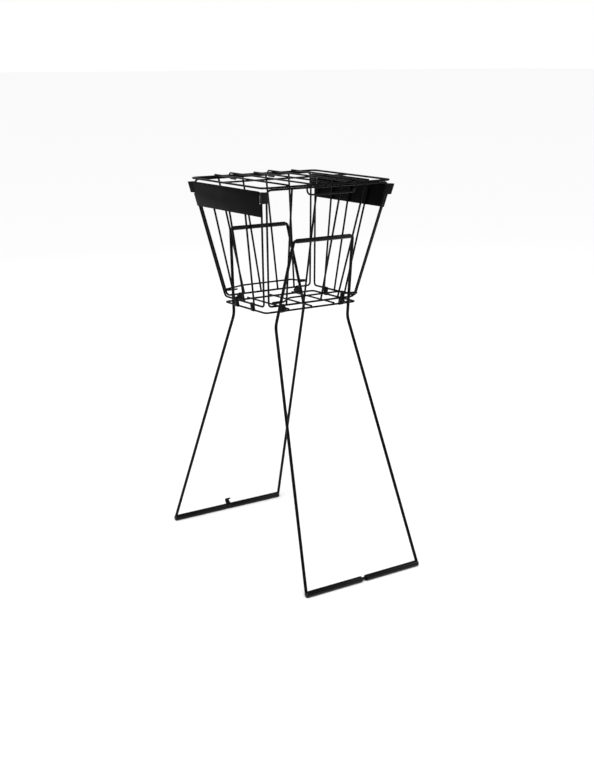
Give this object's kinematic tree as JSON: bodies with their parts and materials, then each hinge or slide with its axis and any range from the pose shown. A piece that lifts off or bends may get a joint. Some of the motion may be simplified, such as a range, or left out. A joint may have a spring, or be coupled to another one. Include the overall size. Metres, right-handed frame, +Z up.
{
  "type": "tennis ball hopper",
  "caption": "Wire tennis ball basket with a hinged lid on two folding wire leg frames, which hook together at the feet.",
  "frame": {"origin": "on the floor under the middle of the basket", "axes": "+Z up, X along the basket's long side, -Y the front, where the lid's lip hangs"},
  "size_m": [0.351, 0.586, 0.8763],
  "materials": {
    "coated_wire": "satin",
    "steel_band": "satin",
    "plate_sheet": "satin",
    "moulding": "matte",
    "sleeve_vinyl": "matte"
  },
  "bodies": {
    "basket": {"front_panel": "coated_wire", "back_panel": "coated_wire", "left_panel": "coated_wire", "right_panel": "coated_wire", "left_plate": "plate_sheet", "right_plate": "plate_sheet", "bottom_grid": "coated_wire", "front_left_corner_clip": "steel_band", "front_right_corner_clip": "steel_band", "back_left_corner_clip": "steel_band", "back_right_corner_clip": "steel_band", "front_left_ring_clip": "steel_band", "front_right_ring_clip": "steel_band", "back_left_ring_clip": "steel_band", "back_right_ring_clip": "steel_band", "front_left_hinge_block": "moulding", "front_right_hinge_block": "moulding", "back_left_hinge_block": "moulding", "back_right_hinge_block": "moulding"},
    "front_leg": {"front_leg_frame": "coated_wire", "front_leg_brace": "coated_wire", "front_crossbar_sleeve": "sleeve_vinyl", "front_left_foot_sleeve": "sleeve_vinyl", "front_right_foot_sleeve": "sleeve_vinyl"},
    "back_leg": {"back_leg_frame": "coated_wire", "back_leg_brace": "coated_wire", "back_crossbar_sleeve": "sleeve_vinyl", "back_left_foot_sleeve": "sleeve_vinyl", "back_right_foot_sleeve": "sleeve_vinyl"},
    "catch": {"catch": "moulding"},
    "lid": {"lid": "coated_wire"}
  },
  "joints": [
    {"name": "front_leg_fold", "type": "hinge", "parent": "basket", "child": "front_leg", "pos_m": [0, -0.09425, 0.595], "axis": [1, 0, 0], "range_deg": [0, 26.11]},
    {"name": "back_leg_fold", "type": "hinge", "parent": "basket", "child": "back_leg", "pos_m": [0, 0.09425, 0.595], "axis": [-1, 0, 0], "range_deg": [0, 26.11]},
    {"name": "lid_hinge", "type": "hinge", "parent": "basket", "child": "lid", "pos_m": [0, 0.14825, 0.8665], "axis": [-1, 0, 0], "range_deg": [0, 110]},
    {"name": "catch_turn", "type": "hinge", "parent": "back_leg", "child": "catch", "pos_m": [0, 0.286, 0.007], "axis": [1, 0, 0], "range_deg": [0, 116.11]}
  ]
}
